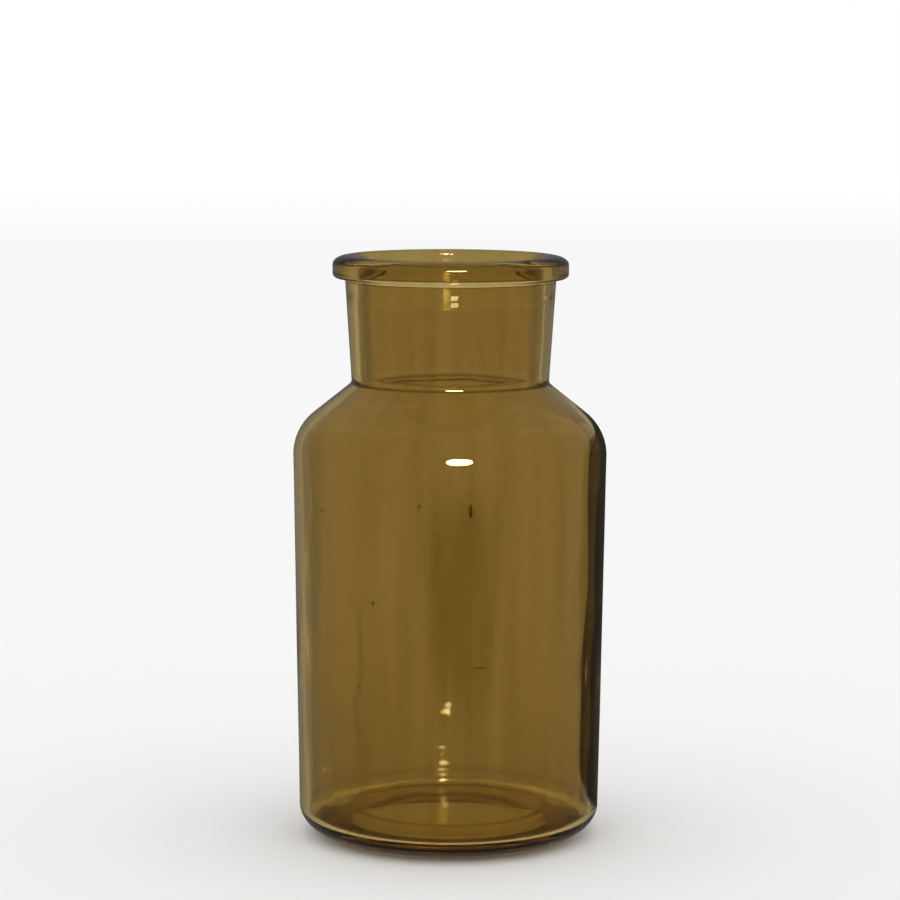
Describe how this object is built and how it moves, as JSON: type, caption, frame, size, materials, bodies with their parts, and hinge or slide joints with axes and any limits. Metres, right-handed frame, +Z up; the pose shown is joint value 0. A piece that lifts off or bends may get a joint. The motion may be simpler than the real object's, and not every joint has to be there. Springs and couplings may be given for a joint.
{
  "type": "apothecary jar",
  "caption": "Open wide-mouthed apothecary jar in amber glass: straight round body, sloping shoulder, tapered neck with a flanged rim, and a thick pushed-up base.",
  "frame": {"origin": "centre of the ring the jar stands on, in the plane of the table", "axes": "+Z up along the jar's axis, out of the mouth; the jar is round, so X and Y are any two level directions"},
  "size_m": [0.105, 0.105, 0.1956],
  "materials": {
    "amber_glass": "clear, smooth and glossy"
  },
  "bodies": {
    "root": {"jar": "amber_glass"}
  },
  "joints": []
}
